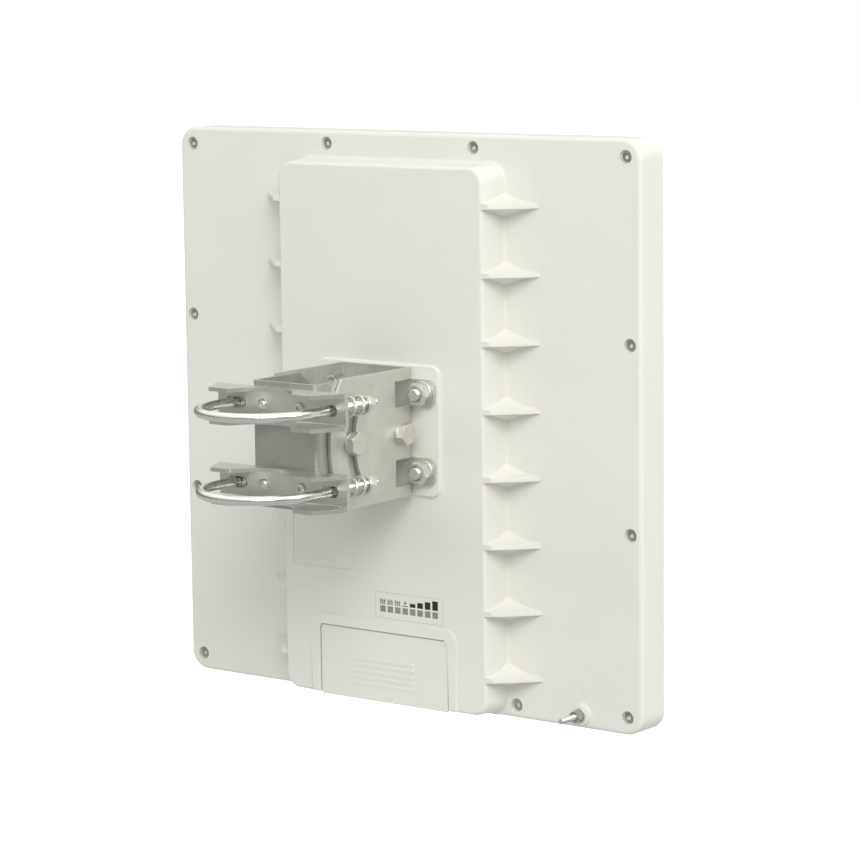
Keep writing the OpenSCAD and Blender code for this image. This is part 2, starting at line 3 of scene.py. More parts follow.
import bmesh
import bpy
from mathutils import Matrix, Vector


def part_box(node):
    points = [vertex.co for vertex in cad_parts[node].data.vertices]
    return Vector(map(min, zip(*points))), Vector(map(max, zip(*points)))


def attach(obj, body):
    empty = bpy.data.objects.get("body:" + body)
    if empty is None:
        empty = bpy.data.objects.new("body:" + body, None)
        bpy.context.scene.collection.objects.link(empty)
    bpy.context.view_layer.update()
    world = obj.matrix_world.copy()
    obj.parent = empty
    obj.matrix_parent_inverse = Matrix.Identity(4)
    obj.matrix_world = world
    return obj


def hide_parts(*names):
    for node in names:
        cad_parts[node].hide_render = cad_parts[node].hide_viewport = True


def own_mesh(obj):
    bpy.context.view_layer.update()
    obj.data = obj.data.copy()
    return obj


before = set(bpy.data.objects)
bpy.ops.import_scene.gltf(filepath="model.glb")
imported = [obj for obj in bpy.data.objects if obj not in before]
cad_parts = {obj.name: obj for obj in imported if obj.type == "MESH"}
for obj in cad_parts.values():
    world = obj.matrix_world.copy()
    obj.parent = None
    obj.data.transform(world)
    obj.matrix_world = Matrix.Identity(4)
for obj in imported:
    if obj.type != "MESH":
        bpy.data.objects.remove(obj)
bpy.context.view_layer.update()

MM = 0.001
TO_MM = 1000

# ---------------------------------------------------------------- camera

AZIMUTH = math.radians(37.25)
ELEVATION = math.radians(8.19)
ROLL = math.radians(-0.71)
DISTANCE = 2.11099
TARGET = Vector((22.75, 150.0, -2.79)) * MM
LENS = 137.53


def add_camera():
    """A long lens that looks at the target, turned a little about its own axis."""
    back = Vector((math.sin(AZIMUTH) * math.cos(ELEVATION), -math.cos(AZIMUTH) * math.cos(ELEVATION),
                   math.sin(ELEVATION)))
    right = (-back).cross(Vector((0, 0, 1))).normalized()
    up = right.cross(-back)
    r = math.cos(ROLL) * right + math.sin(ROLL) * up
    u = -math.sin(ROLL) * right + math.cos(ROLL) * up
    data = bpy.data.cameras.new("camera")
    data.lens = LENS
    data.sensor_width = 36
    data.clip_end = 50
    camera = bpy.data.objects.new("camera", data)
    bpy.context.scene.collection.objects.link(camera)
    turn = Matrix((r, u, back)).transposed().to_4x4()
    camera.matrix_world = Matrix.Translation(TARGET + back * DISTANCE) @ turn
    bpy.context.scene.camera = camera


add_camera()

# ---------------------------------------------------------------- materials


class Nodes:
    """A material's node tree, with one call per node."""

    def __init__(self, name, color, roughness, metallic=0.0, specular=0.5):
        self.mat = bpy.data.materials.new(name)
        self.mat.use_nodes = True
        self.tree = self.mat.node_tree
        self.shader = self.tree.nodes["Principled BSDF"]
        self.shader.inputs["Base Color"].default_value = (*color, 1)
        self.shader.inputs["Roughness"].default_value = roughness
        self.shader.inputs["Metallic"].default_value = metallic
        self.shader.inputs["Specular IOR Level"].default_value = specular
        self.coord = self.tree.nodes.new("ShaderNodeTexCoord")
        self.height = None

    def link(self, a, b):
        self.tree.links.new(a, b)

    def stretched(self, scale):
        node = self.tree.nodes.new("ShaderNodeMapping")
        node.inputs["Scale"].default_value = scale
        self.link(self.coord.outputs["Object"], node.inputs["Vector"])
        return node.outputs["Vector"]

    def noise(self, scale, detail=3.0, rough=0.5, stretch=(1, 1, 1)):
        node = self.tree.nodes.new("ShaderNodeTexNoise")
        node.inputs["Scale"].default_value = scale
        node.inputs["Detail"].default_value = detail
        node.inputs["Roughness"].default_value = rough
        self.link(self.stretched(stretch), node.inputs["Vector"])
        return node.outputs["Fac"]

    def cells(self, scale, stretch=(1, 1, 1)):
        node = self.tree.nodes.new("ShaderNodeTexVoronoi")
        node.inputs["Scale"].default_value = scale
        self.link(self.stretched(stretch), node.inputs["Vector"])
        return node.outputs["Color"]

    def remap(self, value, low, high, to_low, to_high):
        node = self.tree.nodes.new("ShaderNodeMapRange")
        for key, number in (("From Min", low), ("From Max", high), ("To Min", to_low), ("To Max", to_high)):
            node.inputs[key].default_value = number
        self.link(value, node.inputs["Value"])
        return node.outputs["Result"]

    def colour(self, value, dark, light, low=0.3, high=0.7):
        node = self.tree.nodes.new("ShaderNodeValToRGB")
        node.color_ramp.elements[0].position = low
        node.color_ramp.elements[0].color = (*dark, 1)
        node.color_ramp.elements[1].position = high
        node.color_ramp.elements[1].color = (*light, 1)
        self.link(value, node.inputs["Fac"])
        self.link(node.outputs["Color"], self.shader.inputs["Base Color"])

    def rough(self, value, low, high):
        self.link(self.remap(value, 0.3, 0.7, low, high), self.shader.inputs["Roughness"])

    def bump(self, value, strength, distance):
        node = self.tree.nodes.new("ShaderNodeBump")
        node.inputs["Strength"].default_value = strength
        node.inputs["Distance"].default_value = distance
        self.link(value, node.inputs["Height"])
        if self.height is not None:
            self.link(self.height, node.inputs["Normal"])
        self.height = node.outputs["Normal"]
        self.link(self.height, self.shader.inputs["Normal"])


def shade(color, factor):
    return tuple(min(1.0, c * factor) for c in color)


def moulded(name, color, roughness, grain=1400, depth=0.00006, drift=0.03, wear=7.0):
    """Moulded or painted plastic: fine grain, slow colour drift and patches of handling sheen."""
    n = Nodes(name, color, roughness)
    n.colour(n.noise(wear, 4, 0.6), shade(color, 1 - drift), shade(color, 1 + drift / 2))
    n.rough(n.noise(60, 4, 0.6), roughness - 0.06, roughness + 0.07)
    n.bump(n.noise(grain, 2, 0.6), 0.35, depth)
    n.bump(n.noise(90, 2), 0.12, 0.0002)
    return n.mat


def metal(name, color, roughness, grain=(1, 1, 1), scale=500, drift=0.12, depth=0.00004, spangle=0.0):
    """Bare or plated metal: grain drawn along one axis, uneven sheen and faint blotches."""
    n = Nodes(name, color, roughness, metallic=1.0)
    streaks = n.noise(scale, 5, 0.65, grain)
    n.colour(streaks, shade(color, 1 - drift), shade(color, 1 + drift / 2), 0.25, 0.75)
    n.rough(n.noise(scale * 0.35, 4, 0.6, grain), roughness - 0.06, roughness + 0.1)
    n.bump(streaks, 0.4, depth)
    if spangle:
        n.bump(n.cells(spangle), 0.15, depth)
    return n.mat


def galvanised(name, color, roughness, metallic=0.72, contrast=1.0):
    """Hot-dip galvanised sheet: matte zinc with a faint vertical draw grain, spangle and pale bloom."""
    n = Nodes(name, color, roughness, metallic=metallic, specular=0.4)
    grain = n.noise(700, 6, 0.75, (2.2, 2.2, 0.5))
    bloom = n.noise(38, 5, 0.65)
    mix = n.tree.nodes.new("ShaderNodeMath")
    mix.operation = "ADD"
    half = n.tree.nodes.new("ShaderNodeMath")
    half.operation = "MULTIPLY"
    half.inputs[1].default_value = 0.5
    n.link(grain, mix.inputs[0])
    n.link(bloom, mix.inputs[1])
    n.link(mix.outputs[0], half.inputs[0])
    dark, light = shade(color, 1 - 0.16 * contrast), shade(color, 1 + 0.08 * contrast)
    n.colour(half.outputs[0], dark, light, 0.36, 0.64)
    n.rough(bloom, roughness - 0.08, roughness + 0.1)
    n.bump(grain, 0.3 * contrast, 0.00006)
    n.bump(n.noise(1900, 2, 0.6), 0.25, 0.00005)
    return n.mat


BODY_PAINT = (0.785, 0.78, 0.725)
PAINT = moulded("body_paint", BODY_PAINT, 0.42)
RADOME = moulded("radome_plastic", (0.80, 0.80, 0.765), 0.5, grain=1100, depth=0.00008)
DOOR = moulded("door_plastic", BODY_PAINT, 0.46, grain=1700, depth=0.00008)
RUBBER = moulded("seal_rubber", (0.02, 0.02, 0.021), 0.68, grain=900, depth=0.0001, drift=0.3)
FOAM = moulded("thermal_foam", (0.32, 0.38, 0.46), 0.75, grain=1500, depth=0.0001, drift=0.15)
LABEL = moulded("label_film", BODY_PAINT, 0.36, grain=600, depth=0.00002)
INK_GREY = moulded("ink_grey", (0.27, 0.265, 0.235), 0.34, grain=1200, depth=0.00002, drift=0.1, wear=40)
INK_BLACK = moulded("ink_black", (0.020, 0.019, 0.016), 0.34, grain=1200, depth=0.00002, drift=0.2, wear=40)
INK_DARK = moulded("ink_dark", (0.13, 0.128, 0.11), 0.34, grain=1200, depth=0.00002, drift=0.1, wear=40)
INK_LINE = moulded("ink_line", (0.58, 0.575, 0.53), 0.4, grain=1200, depth=0.00002, drift=0.1, wear=40)
RESIN = moulded("led_resin", (0.5, 0.62, 0.42), 0.2, grain=900, depth=0.00002, drift=0.08, wear=30)
NYLON = moulded("white_nylon", (0.78, 0.77, 0.73), 0.4, grain=1000, depth=0.00005)
BOARD = moulded("circuit_board", (0.02, 0.13, 0.045), 0.32, grain=800, depth=0.00005, drift=0.25, wear=50)
GALVANISED = galvanised("galvanised_sheet", (0.66, 0.66, 0.61), 0.46)
SATIN = galvanised("satin_sheet", (0.66, 0.66, 0.61), 0.33, 0.92, 0.5)
# The mast bracket is the same galvanised sheet as the antenna bracket, given a darker colour all over as
# painted shade
SHADED_MAST_SHEET = galvanised("mast_sheet_shaded", (0.52, 0.52, 0.48), 0.42, 0.8)
ROD = metal("polished_rod", (0.86, 0.86, 0.82), 0.24, (1, 1, 1), 160, drift=0.05, depth=0.00002)
WIRE = metal("spring_wire", (0.76, 0.76, 0.72), 0.34, (1, 1, 1), 700, drift=0.1)
ZINC = metal("zinc_fastener", (0.77, 0.765, 0.72), 0.46, (1, 1, 1), 420, depth=0.00005, spangle=900)
DARK_ZINC = metal("screw_steel", (0.52, 0.52, 0.48), 0.3, (1, 1, 1), 600, drift=0.2, depth=0.00005)
SHEET_AL = metal("sheet_aluminium", (0.78, 0.78, 0.79), 0.32, (0.3, 2.5, 2.5), 400)
TIN = metal("shield_tin", (0.72, 0.72, 0.72), 0.3, (2, 2, 0.4), 400)
COPPER = metal("copper_foil", (0.80, 0.46, 0.28), 0.3, (1, 1, 1), 500, drift=0.15)

# ---------------------------------------------------------------- mesh helpers, in millimetres


def piece(name, bm, body, material, replaces=(), sharp=32.0, weld=0.0005):
    """Turns a bmesh in millimetres into an object that rides on a body and stands for the CAD nodes given."""
    if weld:
        bmesh.ops.remove_doubles(bm, verts=bm.verts, dist=weld)
    bmesh.ops.recalc_face_normals(bm, faces=bm.faces)
    limit = math.radians(sharp)
    for face in bm.faces:
        face.smooth = True
    for edge in bm.edges:
        if len(edge.link_faces) == 2 and edge.calc_face_angle(0) > limit:
            edge.smooth = False
    bmesh.ops.scale(bm, vec=(MM, MM, MM), verts=bm.verts)
    mesh = bpy.data.meshes.new(name)
    bm.to_mesh(mesh)
    bm.free()
    mesh.materials.append(material)
    obj = bpy.data.objects.new(name, mesh)
    bpy.context.scene.collection.objects.link(obj)
    weighted = obj.modifiers.new("normals", "WEIGHTED_NORMAL")
    weighted.keep_sharp = True
    weighted.weight = 90
    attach(obj, body)
    if replaces:
        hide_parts(*replaces)
    return obj


def bridge(bm, rows):
    """Joins each closed row of vertices to the next one with quads."""
    count = len(rows[0])
    for a, b in zip(rows, rows[1:]):
        for i in range(count):
            bm.faces.new((a[i], a[(i + 1) % count], b[(i + 1) % count], b[i]))


def loft(bm, rings, cap_start=True, cap_end=True):
    """Joins closed rings of equal length with quads, and closes the ends."""
    rows = [[bm.verts.new(p) for p in ring] for ring in rings]
    bridge(bm, rows)
    if cap_start:
        bm.faces.new(list(reversed(rows[0])))
    if cap_end:
        bm.faces.new(rows[-1])
    return rows


def circle_angles(count):
    """Equal steps round a full turn, in radians."""
    return [2 * math.pi * k / count for k in range(count)]


def about_z(radii, heights):
    """A ring about +Z through equal angles, from the radius and the height at each of them."""
    return [Vector((r * math.cos(a), r * math.sin(a), h))
            for r, a, h in zip(radii, circle_angles(len(radii)), heights)]


def rounded_loop(x0, x1, z0, z1, r, steps=10):
    """A rectangle with round corners, as (x, z) points in order."""
    points = []
    centres = ((x1 - r, z1 - r), (x0 + r, z1 - r), (x0 + r, z0 + r), (x1 - r, z0 + r))
    for (cx, cz), start in zip(centres, (0, 90, 180, 270)):
        for i in range(steps + 1):
            a = math.radians(start + 90 * i / steps)
            points.append((cx + r * math.cos(a), cz + r * math.sin(a)))
    return points


def ring_at(y, x0, x1, z0, z1, r, inset, steps):
    """A rounded rectangle at a depth, drawn in by an inset."""
    r = max(r - inset, 0.05)
    outline = rounded_loop(x0 + inset, x1 - inset, z0 + inset, z1 - inset, r, steps)
    return [Vector((x, y, z)) for x, z in outline]


def circle_at(x, y, z, r, steps=40):
    """A circle at a depth, about the Y axis."""
    return [Vector((x + r * math.cos(a), y, z + r * math.sin(a))) for a in circle_angles(steps)]


def fillet_rings(y_edge, sign, radius, make, steps):
    """Rings that round an outer edge over to the plane y = y_edge; sign is +1 for a solid at higher y."""
    rings = []
    for i in range(steps + 1):
        a = math.pi / 2 * i / steps
        rings.append(make(y_edge + sign * radius * (1 - math.sin(a)), radius * (1 - math.cos(a))))
    return rings


def prism(bm, points, y0, y1):
    """A closed outline of (x, z) points extruded along Y."""
    return loft(bm, [[Vector((x, y, z)) for x, z in points] for y in (y0, y1)])


def bevel(bm, width, segments, angle=30.0, edges=None):
    """Rounds the given edges, or every edge that turns by more than an angle."""
    if edges is None:
        edges = [e for e in bm.edges if len(e.link_faces) == 2 and e.calc_face_angle(0) > math.radians(angle)]
    bmesh.ops.bevel(bm, geom=edges, offset=width, segments=segments, profile=0.5, affect="EDGES",
                    clamp_overlap=True)


def face_edges(bm, y, tolerance=1e-3):
    """The edges that lie in the plane at a depth."""
    return [e for e in bm.edges if all(abs(v.co.y - y) < tolerance for v in e.verts)]


def box_bm(lo, hi, width=0.0):
    """A box between two corners, with its edges rounded if a width is given."""
    bm = bmesh.new()
    (x0, y0, z0), (x1, y1, z1) = lo, hi
    prism(bm, [(x0, z0), (x1, z0), (x1, z1), (x0, z1)], y0, y1)
    if width:
        bevel(bm, width, 2)
    return bm


def merge(target, source, matrix=None):
    """Adds one bmesh to another, moved by a matrix if one is given."""
    mesh = bpy.data.meshes.new("scratch")
    source.to_mesh(mesh)
    source.free()
    if matrix is not None:
        mesh.transform(matrix)
    target.from_mesh(mesh)
    bpy.data.meshes.remove(mesh)


def cut(bm, cutters):
    """Takes closed cutters away from a closed solid with an exact boolean."""
    def scratch(source, name):
        mesh = bpy.data.meshes.new(name)
        bmesh.ops.recalc_face_normals(source, faces=source.faces)
        source.to_mesh(mesh)
        source.free()
        obj = bpy.data.objects.new(name, mesh)
        bpy.context.scene.collection.objects.link(obj)
        return obj
    base = scratch(bm, "cut_base")
    tools = bmesh.new()
    for tool in cutters:
        merge(tools, tool)
    tool = scratch(tools, "cut_tool")
    step = base.modifiers.new("cut", "BOOLEAN")
    step.operation = "DIFFERENCE"
    step.solver = "EXACT"
    step.use_self = True
    step.object = tool
    out = bmesh.new()
    graph = bpy.context.evaluated_depsgraph_get()
    out.from_mesh(base.evaluated_get(graph).to_mesh())
    base.evaluated_get(graph).to_mesh_clear()
    for obj in (base, tool):
        mesh = obj.data
        bpy.data.objects.remove(obj)
        bpy.data.meshes.remove(mesh)
    return out


def cad_bm(node):
    """A working copy of a CAD node's shape in millimetres, with its flat faces made whole."""
    bm = bmesh.new()
    bm.from_mesh(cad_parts[node].data)
    bmesh.ops.scale(bm, vec=(TO_MM, TO_MM, TO_MM), verts=bm.verts)
    bmesh.ops.remove_doubles(bm, verts=bm.verts, dist=0.001)
    bmesh.ops.dissolve_limit(bm, angle_limit=math.radians(0.4), verts=bm.verts, edges=bm.edges)
    return bm


SHARP_CORNER = 35.0


def softened(node, body, material):
    """A CAD node's shape with its hard edges broken, standing for the node."""
    bm = cad_bm(node)
    bevel(bm, 0.3, 2, SHARP_CORNER)
    return piece(node + "_finished", bm, body, material, (node,))


def revolve(profile, axis_point, axis, sides):
    """Turns (height, radius) points round an axis; a radius of 0 closes the end."""
    bm = bmesh.new()
    axis = Vector(axis).normalized()
    side = axis.orthogonal().normalized()
    other = axis.cross(side)
    centre = Vector(axis_point)
    loft(bm, [[centre + axis * h + (side * math.cos(t) + other * math.sin(t)) * max(r, 0.001)
               for t in circle_angles(sides)] for h, r in profile])
    return bm


def tube(points, tangents, up, radius, sides):
    """A tube whose radius is a function of its row and its share of a turn, for rods with threads."""
    bm = bmesh.new()
    rings = []
    for i, (p, t) in enumerate(zip(points, tangents)):
        n = up.cross(t).normalized()
        rings.append([p + (n * math.cos(a) + up * math.sin(a)) * radius(i, k / sides)
                      for k, a in enumerate(circle_angles(sides))])
    loft(bm, rings)
    return bm


def thread_height(turn):
    """The height of a rolled thread, 0 at its root and 1 at its crest, at a share of one turn."""
    ramp = 1 - abs(2 * (turn % 1.0) - 1)
    return min(1.0, max(0.0, 1.5 * ramp - 0.15))


def threaded_y(x, z, y0, y1, thread, sides, rows, chamfer=0.8, smooth_from=None):
    """A threaded rod along Y whose low-Y end is chamfered; above smooth_from it is plain.

    thread is its crest radius, root radius and pitch, and rows is how many rings there are to a turn.
    """
    major, minor, pitch = thread
    count = max(8, int((y1 - y0) / pitch * rows))
    ys = [y0 + (y1 - y0) * i / count for i in range(count + 1)]

    def radius(i, share):
        y = ys[i]
        top = min(major, major - chamfer + (y - y0))
        if smooth_from is not None and y > smooth_from:
            return top
        return min(top, minor + (major - minor) * thread_height(y / pitch + share))
    along = [Vector((0, 1, 0))] * len(ys)
    return tube([Vector((x, y, z)) for y in ys], along, Vector((0, 0, 1)), radius, sides)


def hexagon(flat, count):
    """A hexagon's reach from its centre at equal angles; flat is its reach at the middle of a side."""
    sixth = math.pi / 3
    return [flat / math.cos((a + sixth / 2) % sixth - sixth / 2) for a in circle_angles(count)]


def hex_solid(across, height, hole=0.0, both=False, steps=8):
    """A hexagon nut or head standing on z = 0, with the curved chamfer of turned corners."""
    bm = bmesh.new()
    flat = across / 2
    count = 6 * steps
    face_r = flat * 0.95
    corner = hexagon(flat, count)
    drop = [(r - face_r) * math.tan(math.radians(30)) for r in corner]

    def level(r, h):
        return about_z([r] * count, [h] * count)
    rings = [level(face_r, 0), about_z(corner, drop)] if both else [about_z(corner, [0] * count)]
    rings += [about_z(corner, [height - d for d in drop]), level(face_r, height)]
    if not hole:
        loft(bm, rings)
        return bm
    mouth, dip = hole * 1.22, hole * 0.22
    rings = [level(mouth, 0)] + rings
    rings += [level(mouth, height), level(hole, height - dip), level(hole, dip), level(mouth, 0)]
    bridge(bm, [[bm.verts.new(p) for p in ring] for ring in rings])
    bmesh.ops.remove_doubles(bm, verts=bm.verts, dist=1e-5)
    return bm


def socket_head(profile, flat, socket):
    """A turned screw head on z = 0 with a hexagon socket in its top.

    profile gives the outside's radii and heights, and socket the hexagon's scale and heights going in.
    """
    sides = 36
    corner = hexagon(flat, sides)
    rings = [about_z([r] * sides, [h] * sides) for r, h in profile]
    rings += [about_z([r * scale for r in corner], [h] * sides) for scale, h in socket]
    bm = bmesh.new()
    loft(bm, rings)
    return bm


def place(x, y, z, towards, turn=0.0):
    """A matrix that stands a +Z solid at a point, pointing along an axis, turned about itself."""
    quarter = Vector((0, 0, 1)).rotation_difference(Vector(towards)).to_matrix().to_4x4()
    return Matrix.Translation((x, y, z)) @ quarter @ Matrix.Rotation(math.radians(turn), 4, "Z")


def ring_solid(profile):
    """A closed profile of heights and radii turned about +Z."""
    bm = bmesh.new()
    sides = 48
    rows = [[bm.verts.new(p) for p in about_z([r] * sides, [h] * sides)] for h, r in profile]
    bridge(bm, rows + rows[:1])
    bmesh.ops.recalc_face_normals(bm, faces=bm.faces)
    return bm


def washer(inner, outer, thick, edge=0.25):
    """A washer standing on z = 0 with stamped, rounded rims."""
    return ring_solid([(edge, inner), (0, inner + edge), (0, outer - edge), (edge, outer),
                       (thick - edge, outer), (thick, outer - edge), (thick, inner + edge),
                       (thick - edge, inner)])


# ---------------------------------------------------------------- dimensions read from the frame


def span(node):
    """A CAD node's box in millimetres: low corner and high corner."""
    low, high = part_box(node)
    return low * TO_MM, high * TO_MM


house_lo, house_hi = span("rear_housing")
HALF = (house_hi.x - house_lo.x) / 2
LIFT = (house_hi.z + house_lo.z) / 2
WALL = 2.5
CORNER = 13.0

# Depths along Y of the panel's back and seams, the hump's face and what stands on or sinks into it
BACK_Y = 150.0
SEAM_Y = house_hi.y
FRONT_Y = span("radome")[1].y
HUMP_Y = 127.4
PAD_Y = 124.9
RIM_Y = 125.9
SEAT_Y = 129.2

# The hump, the door's opening in it, and the ground stud
HUMP_BOTTOM = -181.0
DOOR_HALF = 51.7
DOOR_TOP = -133.4
GROUND_X, GROUND_Z = 140.3, -174.4

# The panel's screws: how far in they sit, their spacing, and their wells as depths and radii
CORNER_SCREW = HALF - 11.15
EDGE_SCREW = HALF - 8.45
SIDE_SCREW = 59.0
BOTTOM_SCREW = 89.5
WELL = ((0, 4.65), (0.1, 4.4), (0.35, 4.3), (4.2, 4.3), (4.2, 2.2))
WELL_DEPTH = WELL[-1][0]
SIDES = (-1, 1)
SCREWS = ([(x * CORNER_SCREW, z * CORNER_SCREW) for x in SIDES for z in SIDES]
          + [(x * EDGE_SCREW, z * SIDE_SCREW) for x in SIDES for z in SIDES]
          + [(x * SIDE_SCREW, EDGE_SCREW) for x in SIDES]
          + [(x * BOTTOM_SCREW, -EDGE_SCREW) for x in SIDES])
SCREWS = [(x, z + LIFT) for x, z in SCREWS]

# Half the distance between the levels of the two clamps, which the bracket's studs share
LEVEL = 25.1

# Threads are a crest radius, a root radius and a pitch; nuts are across flats, height and bore radius
M8_THREAD = (3.97, 3.4, 1.25)
M8_NUT = (13, 6.5, 4.0)
M8_BORE = 4.2
M8_WASHER = 1.6

# ---------------------------------------------------------------- housing: tray


def panel_ring(y, inset):
    """The panel's outline at a depth, drawn in by an inset."""
    return ring_at(y, -HALF, HALF, LIFT - HALF, LIFT + HALF, CORNER, inset, 16)


def closed_edges(bm, row):
    """The edges round a closed row of vertices."""
    return [bm.edges.get((a, b)) for a, b in zip(row, row[1:] + row[:1])]


def tray():
    """The panel's back and sides: a shell with a rounded rim and twelve screw wells."""
    bm = bmesh.new()
    seam = SEAM_Y - 0.05
    rings = [panel_ring(seam, WALL), panel_ring(SEAM_Y, 2.2), panel_ring(SEAM_Y, 0.35),
             panel_ring(SEAM_Y - 0.35, 0)]
    rings += fillet_rings(BACK_Y, 1, 3.0, panel_ring, 8)
    shell = loft(bm, rings, cap_start=False, cap_end=False)
    outline = closed_edges(bm, shell[-1])
    for x, z in SCREWS:
        well = loft(bm, [circle_at(x, BACK_Y + depth, z, r) for depth, r in WELL], cap_start=False)
        outline += closed_edges(bm, well[0])
    bmesh.ops.triangle_fill(bm, use_beauty=True, use_dissolve=False, edges=outline)
    loft(bm, [panel_ring(seam, WALL), panel_ring(BACK_Y + WALL, WALL)], cap_start=False)
    return bm


piece("tray", tray(), "antenna", PAINT, ("rear_housing",))

# ---------------------------------------------------------------- housing: hump

# Half width, top and bottom where the hump meets the panel and at its face
HUMP = {"base": (83.2, 169.5, HUMP_BOTTOM), "face": (81.9, 168.1, -179.6)}
HUMP_CORNER = 10.0
HUMP_FILLET = 2.2

# Spaces in the hump as low and high corners: the cable pocket, the network socket's hole, and a shallow
# seat for a blank plate, whose depth is given apart
POCKET = ((-47.5, HUMP_Y, -178.5), (47.5, 146, -137))
SOCKET_HOLE = ((-8, 131.5, -138), (8, 145.2, -121.5))
PLATE_X, PLATE_Z, PLATE_DEPTH = (-74, -26), (-95.8, -47.8), 0.35
OUTLET_Y, OUTLET_R = 137.6, 7
DOOR_GAP = 0.8


def hump_ring(y, inset):
    """The hump's outline at a depth: it narrows a little towards its face."""
    share = (y - HUMP_Y) / (BACK_Y - HUMP_Y)
    half, top, bottom = (b * share + f * (1 - share) for b, f in zip(HUMP["base"], HUMP["face"]))
    return ring_at(y, -half, half, bottom, top, HUMP_CORNER, inset, 12)


def hump():
    """The hump with its filleted root, cut for the door, the cable pocket, the socket and a plate."""
    bm = bmesh.new()
    rings = fillet_rings(HUMP_Y, 1, HUMP_FILLET, hump_ring, 7)[::-1]
    steps = 6
    for i in range(steps + 1):
        a = math.pi / 2 * i / steps
        rings.append(hump_ring(BACK_Y - HUMP_FILLET * (1 - math.sin(a)), -HUMP_FILLET * (1 - math.cos(a))))
    rings.append(hump_ring(BACK_Y + 0.6, -HUMP_FILLET))
    loft(bm, rings)
    seat_half = DOOR_HALF + DOOR_GAP
    outside = HUMP_Y - 4
    below = HUMP_BOTTOM - 8
    seat = box_bm((-seat_half, outside, below), (seat_half, SEAT_Y, DOOR_TOP))
    plate = box_bm((PLATE_X[0], outside, PLATE_Z[0]), (PLATE_X[1], HUMP_Y + PLATE_DEPTH, PLATE_Z[1]))
    outlet = revolve([(-8, OUTLET_R), (8, OUTLET_R)], (0, OUTLET_Y, HUMP_BOTTOM), (0, 0, 1), 40)
    return cut(bm, [seat, box_bm(*POCKET), plate, outlet, box_bm(*SOCKET_HOLE)])


piece("hump", hump(), "antenna", PAINT, ("hump_cover", "cable_bay"))

GUSSET_COUNT = 8
GUSSET_TOP = 144.2
GUSSET_PITCH = 42.87


def gusset(bm, z, side):
    """A flank gusset: thin and round along its sloping edge, swelling to a wide foot in the corner."""
    lip, tip = Vector((86.3, HUMP_Y)), Vector((110.0, BACK_Y))
    lip_root, root, tip_root = Vector((81.0, HUMP_Y)), Vector((81.0, 150.6)), Vector((110.6, 150.6))
    slope = (tip - lip).normalized()
    out = Vector((slope.y, -slope.x))
    reach = (Vector((83, BACK_Y)) - lip).dot(-out)
    rows_along, rows_in, corner = 18, 9, 8
    edge_half, swell, flare, nose = 1.5, 1.9, 4.9, 0.5

    def back(a):
        i = a * rows_along
        if i <= corner:
            return lip_root.lerp(root, i / corner)
        return root.lerp(tip_root, (i - corner) / (rows_along - corner))

    def half_thick(p):
        depth = max(0.0, (lip - p).dot(out))
        share = min(depth / reach, 1.2)
        return edge_half + swell * share + flare * share ** 2.3
    cols = []
    for ia in range(rows_along + 1):
        a = ia / rows_along
        edge, foot = lip.lerp(tip, a), back(a)
        inner = [edge.lerp(foot, ib / rows_in) for ib in range(1, rows_in + 1)]
        loop = [(p, half_thick(p)) for p in reversed(inner)]
        for k, level in enumerate((1, 1, 0, -1, -1)):
            t = math.pi / 4 * k
            height = (half_thick(edge) - nose) * level + nose * math.cos(t)
            loop.append((edge + out * (nose * (math.sin(t) - 1)), height))
        loop += [(p, -half_thick(p)) for p in inner]
        cols.append([Vector((side * p.x, p.y, z + h)) for p, h in loop])
    loft(bm, cols)


def gussets():
    bm = bmesh.new()
    for i in range(GUSSET_COUNT):
        for side in SIDES:
            gusset(bm, GUSSET_TOP - GUSSET_PITCH * i, side)
    return bm


piece("gussets", gussets(), "antenna", PAINT, ("flank_gussets",), sharp=50)

# ---------------------------------------------------------------- housing: pad, door rim and ground boss


def pad():
    """The flat pad that the bracket is bolted to."""
    bm = bmesh.new()
    half, bottom, top, corner = 49, -41.3, 42.3, 6.5

    def ring(y, inset):
        return ring_at(y, -half, half, bottom, top, corner, inset, 10)
    rings = fillet_rings(PAD_Y, 1, 0.9, ring, 5)[::-1]
    foot = ((-0.6, 0), (-0.2, -0.15), (0, -0.6), (0.5, -0.6))
    rings += [ring(HUMP_Y + depth, inset) for depth, inset in foot]
    loft(bm, rings)
    return bm


piece("bracket_pad", pad(), "antenna", PAINT, ("hump_cover",))


def arc(cx, cz, r, start, end, step):
    """Points (x, z) on an arc, with its angles in whole degrees."""
    return [(cx + r * math.cos(math.radians(t)), cz + r * math.sin(math.radians(t)))
            for t in range(start, end, step)]


def door_rim():
    """The raised arch round the cable door, open at the bottom."""
    outer, top, r = 59.6, -126.6, 9.0
    inner, inner_r = DOOR_HALF + 0.7, 2.0
    foot = HUMP_BOTTOM + 1.6
    points = [(-outer, foot)] + arc(-outer + r, top - r, r, 180, 89, -9)
    points += [(-x, z) for x, z in reversed(points)]
    inside = arc(inner - inner_r, DOOR_TOP - inner_r, inner_r, 0, 91, 18)
    points += [(inner, foot)] + inside + [(-x, z) for x, z in reversed(inside)] + [(-inner, foot)]
    bm = bmesh.new()
    prism(bm, points, RIM_Y, SEAT_Y + 0.4)
    bevel(bm, 1.35, 6, edges=face_edges(bm, RIM_Y))
    return bm


piece("door_rim", door_rim(), "antenna", PAINT, ("cable_bay",))


def ground_boss():
    """The round boss under the ground stud's nut, turned from heights and radii."""
    foot = [(-1, 7.1), (0, 7.1), (0.12, 6.85), (0.45, 6.6)]
    rim = [(2.4, 6.5), (2.85, 6.3), (3, 5.9)]
    return revolve(foot + rim + [(3, 2.2), (1, 2.1)], (GROUND_X, BACK_Y, GROUND_Z), (0, -1, 0), 56)


piece("ground_boss", ground_boss(), "antenna", PAINT, ("rear_housing",))


